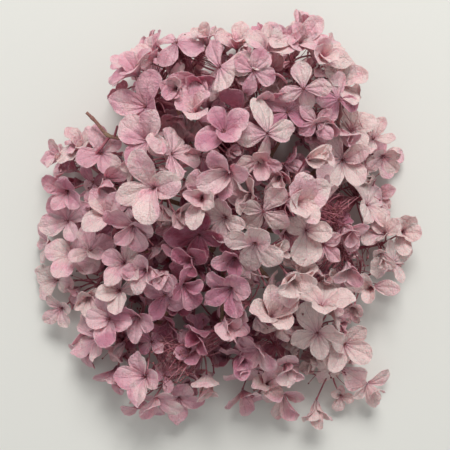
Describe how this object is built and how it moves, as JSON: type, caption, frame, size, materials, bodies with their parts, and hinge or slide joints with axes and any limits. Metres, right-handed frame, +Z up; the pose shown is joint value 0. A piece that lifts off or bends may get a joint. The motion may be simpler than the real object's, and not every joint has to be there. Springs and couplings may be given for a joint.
{
  "type": "preserved hydrangea flower head",
  "caption": "Loose head of preserved pink hydrangea lying on a flat surface, with papery four-sepalled florets on thin stalks round a short woody stem.",
  "frame": {"origin": "on the surface that the head lies on, under the middle of its outline", "axes": "+Z up off the surface, +Y across the surface towards the head's crown, +X to the right of the crown"},
  "size_m": [0.2287, 0.2316, 0.0854],
  "materials": {
    "sepals_pale": "dry, papery and matt, cream pink with a faint fan of veins",
    "sepals_pink": "dry, papery and matt, dusty pink with a faint fan of veins",
    "sepals_mauve": "dry, papery and matt, deep mauve pink with a faint fan of veins",
    "bark": "rough dried bark, tan brown turning crimson towards the sprigs"
  },
  "bodies": {
    "root": {"main_stem": "bark", "branch_crown_left": "bark", "branch_crown_middle": "bark", "branch_crown_right": "bark", "branch_right_high": "bark", "branch_right": "bark", "branch_lower_right": "bark", "branch_lower": "bark", "branch_lower_left": "bark", "branch_left_low": "bark", "branch_left_high": "bark", "cut_side_branch": "bark", "sprig_centre_left": "sepals_pink", "sprig_centre_top": "sepals_pink", "sprig_centre_high": "sepals_pink", "sprig_centre_back": "sepals_pink", "sprig_shoulder_left": "sepals_pink", "sprig_centre_middle": "sepals_pale", "sprig_centre_right": "sepals_pale", "sprig_right_shoulder": "sepals_pink", "sprig_centre_low": "sepals_pale", "sprig_hollow": "sepals_mauve", "sprig_front_top": "sepals_mauve", "sprig_front_middle": "sepals_pale", "sprig_crown_left_front": "sepals_pink", "sprig_crown_left_back": "sepals_pink", "sprig_crown_left_low": "sepals_mauve", "sprig_crown_back": "sepals_pink", "sprig_crown_middle": "sepals_mauve", "sprig_crown_under_left": "sepals_mauve", "sprig_crown_under_middle": "sepals_mauve", "sprig_crown_under_right": "sepals_pink", "sprig_crown_right_back": "sepals_pink", "sprig_crown_right_edge": "sepals_pale", "sprig_crown_right_top": "sepals_pink", "sprig_crown_right_low": "sepals_mauve", "sprig_right_big": "sepals_pale", "sprig_right_far": "sepals_pink", "sprig_right_middle": "sepals_pale", "sprig_right_inner": "sepals_mauve", "sprig_right_tip": "sepals_pink", "sprig_right_lower": "sepals_pink", "sprig_front_right_top": "sepals_pale", "sprig_front_right": "sepals_pale", "sprig_front_right_edge": "sepals_pink", "sprig_front_low": "sepals_mauve", "sprig_front_edge": "sepals_mauve", "sprig_front": "sepals_pink", "sprig_front_inner": "sepals_mauve", "sprig_front_left_top": "sepals_pink", "sprig_front_left_edge": "sepals_mauve", "sprig_left_low_edge": "sepals_mauve", "sprig_left_low": "sepals_pink", "sprig_middle_left": "sepals_pink", "sprig_left_inner": "sepals_pink", "sprig_left_pale": "sepals_pale", "sprig_left_middle": "sepals_pink", "sprig_left": "sepals_pink", "sprig_left_high": "sepals_pink", "sprig_left_high_edge": "sepals_pink"}
  },
  "joints": []
}
